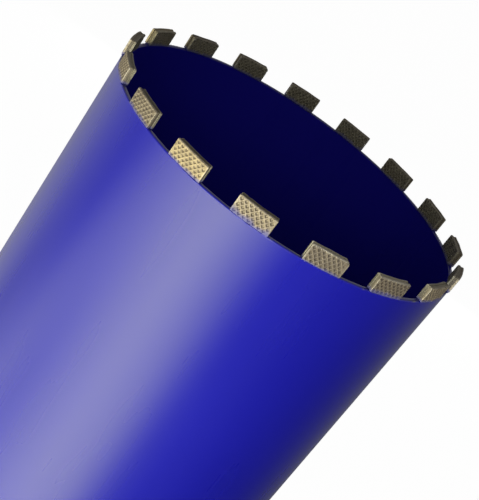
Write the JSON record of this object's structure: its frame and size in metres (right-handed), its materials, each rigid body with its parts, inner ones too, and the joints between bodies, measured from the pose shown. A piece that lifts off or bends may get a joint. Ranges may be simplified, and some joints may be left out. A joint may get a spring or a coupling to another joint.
{
  "type": "diamond core bit",
  "caption": "Large wet-drilling core bit: a painted steel barrel with dimpled diamond segments round its open end, and a welded back plate with a threaded hub on the other.",
  "frame": {"origin": "centre of the hub's mouth, on the bit's axis; the bit stands on this face", "axes": "+Z along the bit's axis, from the hub towards the crown; the first segment faces -Y"},
  "size_m": [0.2496, 0.2491, 0.493],
  "materials": {
    "paint": "satin royal-blue enamel",
    "hub_steel": "turned steel",
    "bond": "sintered bronze and steel bond with diamond grit, matt"
  },
  "bodies": {
    "root": {"barrel": "paint", "back_plate": "paint", "barrel_weld": "paint", "hub_weld": "paint", "hub": "hub_steel", "segment_01": "bond", "segment_02": "bond", "segment_03": "bond", "segment_04": "bond", "segment_05": "bond", "segment_06": "bond", "segment_07": "bond", "segment_08": "bond", "segment_09": "bond", "segment_10": "bond", "segment_11": "bond", "segment_12": "bond", "segment_13": "bond", "segment_14": "bond", "segment_15": "bond", "segment_16": "bond", "segment_17": "bond"}
  },
  "joints": []
}
